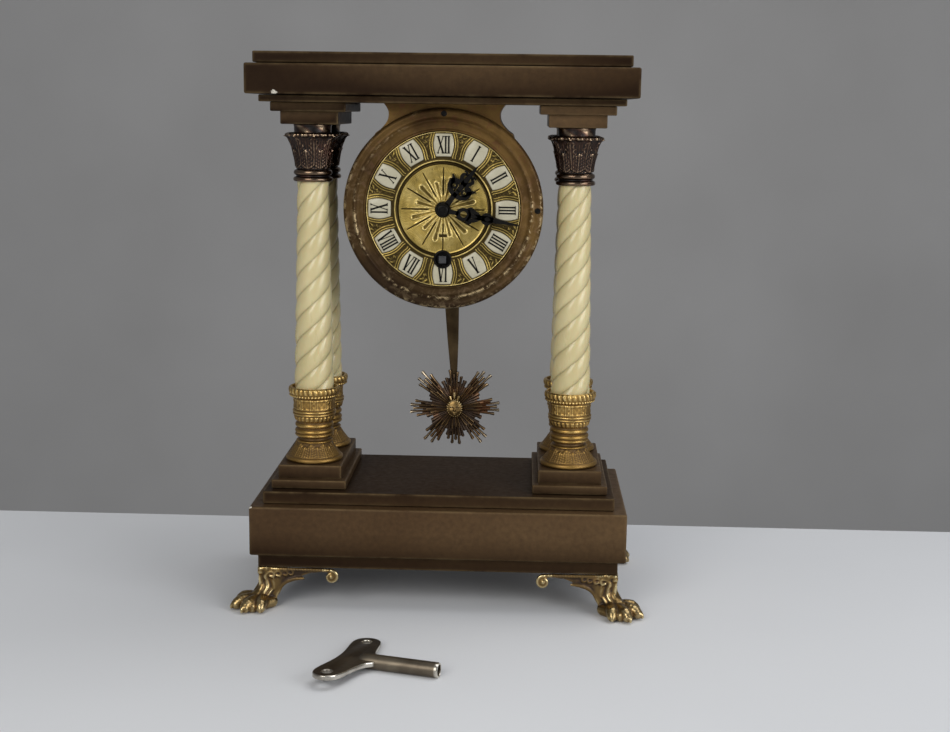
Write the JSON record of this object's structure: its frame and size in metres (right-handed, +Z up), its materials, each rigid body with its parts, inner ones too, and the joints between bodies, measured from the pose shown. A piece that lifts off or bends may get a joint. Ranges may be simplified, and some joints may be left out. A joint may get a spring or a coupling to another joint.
{
  "type": "portico mantel clock",
  "caption": "Portico mantel clock: a drum clock with embossed gilt dial and sunburst pendulum hangs between twisted columns on a paw-footed base, with its winding key.",
  "frame": {"origin": "middle of the clock's footprint, on the surface that its paw feet stand on; the winding key lies in front, at -Y", "axes": "+Z up, +X to the right of the dial as seen from the front, and the dial faces -Y"},
  "size_m": [0.1848, 0.1838, 0.2447],
  "materials": {
    "bronze_paint": "gessoed wood under worn bronze paint, satin, rubbed gold at the edges",
    "drum_paint": "sheet metal under worn bronze-gold paint",
    "ivory": "polished ivory-coloured rope-twist shafts with darker seams",
    "dark_bronze": "dark patinated cast metal, glossy",
    "gilt_brass": "gilt, worn on the high spots",
    "antique_brass": "antiqued cast brass with dark recesses",
    "movement_brass": "plain movement brass",
    "steel": "plain steel",
    "nickel": "dull nickel plate with dark patches",
    "black_lacquer": "black, satin"
  },
  "bodies": {
    "case": {"base_under_board": "bronze_paint", "base_box": "bronze_paint", "base_top_slab": "bronze_paint", "left_plinth": "bronze_paint", "right_plinth": "bronze_paint", "left_header": "bronze_paint", "right_header": "bronze_paint", "entablature_soffit": "bronze_paint", "entablature_band": "bronze_paint", "cornice_board": "bronze_paint", "column_base_front_left": "gilt_brass", "column_base_front_right": "gilt_brass", "column_base_back_left": "gilt_brass", "column_base_back_right": "gilt_brass", "column_shaft_front_left": "ivory", "column_shaft_front_right": "ivory", "column_shaft_back_left": "ivory", "column_shaft_back_right": "ivory", "capital_front_left": "dark_bronze", "capital_front_right": "dark_bronze", "capital_back_left": "dark_bronze", "capital_back_right": "dark_bronze", "column_rod_front_left": "steel", "column_rod_front_right": "steel", "column_rod_back_left": "steel", "column_rod_back_right": "steel", "paw_foot_front_left": "antique_brass", "paw_foot_front_right": "antique_brass", "paw_foot_back_left": "antique_brass", "paw_foot_back_right": "antique_brass", "drum_case": "drum_paint", "drum_back_cover": "drum_paint", "dial_plate": "gilt_brass", "front_plate": "movement_brass", "back_plate": "movement_brass", "plate_pillar_1": "movement_brass", "plate_pillar_2": "movement_brass", "plate_pillar_3": "movement_brass", "suspension_cock": "movement_brass"},
    "centre_arbor": {"centre_wheel": "movement_brass", "cannon_pinion": "steel", "minute_hand": "black_lacquer", "hand_nut": "black_lacquer"},
    "hour_pipe": {"hour_wheel": "movement_brass", "hour_hand": "black_lacquer"},
    "minute_wheel_body": {"minute_wheel": "movement_brass"},
    "barrel": {"mainspring_barrel": "movement_brass", "barrel_cover": "movement_brass", "mainspring": "steel"},
    "third_arbor": {"third_wheel": "movement_brass"},
    "escape_arbor": {"escape_wheel": "movement_brass"},
    "winding_square": {"winding_arbor": "steel", "ratchet_wheel": "steel"},
    "click_lever": {"click": "steel"},
    "anchor": {"anchor_and_crutch": "steel"},
    "pendulum": {"suspension_spring": "steel", "pendulum_rod": "movement_brass", "sunburst_bob": "antique_brass", "sun_mask": "gilt_brass"},
    "key": {"winding_key": "nickel"}
  },
  "joints": [
    {"name": "centre_spin", "type": "hinge", "parent": "case", "child": "centre_arbor", "pos_m": [0, -0.02, 0.178], "axis": [0, 1, 0], "continuous": true},
    {"name": "hour_spin", "type": "hinge", "parent": "case", "child": "hour_pipe", "pos_m": [0, -0.02, 0.178], "axis": [0, 1, 0], "continuous": true},
    {"name": "minute_wheel_spin", "type": "hinge", "parent": "case", "child": "minute_wheel_body", "pos_m": [-0.0092, -0.014, 0.178], "axis": [0, 1, 0], "continuous": true},
    {"name": "barrel_spin", "type": "hinge", "parent": "case", "child": "barrel", "pos_m": [0, -0.002, 0.156], "axis": [0, 1, 0], "continuous": true},
    {"name": "third_spin", "type": "hinge", "parent": "case", "child": "third_arbor", "pos_m": [0.01049, 0, 0.18733], "axis": [0, 1, 0], "continuous": true},
    {"name": "escape_spin", "type": "hinge", "parent": "case", "child": "escape_arbor", "pos_m": [0, 0, 0.1925], "axis": [0, 1, 0], "continuous": true},
    {"name": "winding_spin", "type": "hinge", "parent": "case", "child": "winding_square", "pos_m": [0, -0.012, 0.156], "axis": [0, 1, 0], "continuous": true},
    {"name": "click_pivot", "type": "hinge", "parent": "case", "child": "click_lever", "pos_m": [0.0095, -0.0128, 0.165], "axis": [0, 1, 0], "range_deg": [0, 12], "stiffness_Nm_per_rad": 0.002, "springref_deg": -11.46},
    {"name": "pendulum_swing", "type": "hinge", "parent": "case", "child": "pendulum", "pos_m": [0, 0.015, 0.2031], "axis": [0, 1, 0], "range_deg": [-2.8, 7.2]},
    {"name": "anchor_rock", "type": "hinge", "parent": "case", "child": "anchor", "pos_m": [0, 0.0014, 0.2031], "axis": [0, 1, 0], "range_deg": [-2.8, 7.2]},
    {"name": "key_lift", "type": "slide", "parent": "case", "child": "key", "axis": [0, 0, 1], "range_m": [0, 0.04]}
  ],
  "couplings": [
    {"joint": "hour_spin", "follows": "centre_spin", "ratio": 0.083333},
    {"joint": "minute_wheel_spin", "follows": "centre_spin", "ratio": -0.33333},
    {"joint": "barrel_spin", "follows": "centre_spin", "ratio": -0.25},
    {"joint": "third_spin", "follows": "centre_spin", "ratio": -12},
    {"joint": "escape_spin", "follows": "centre_spin", "ratio": 144},
    {"joint": "anchor_rock", "follows": "pendulum_swing", "ratio": 1}
  ]
}
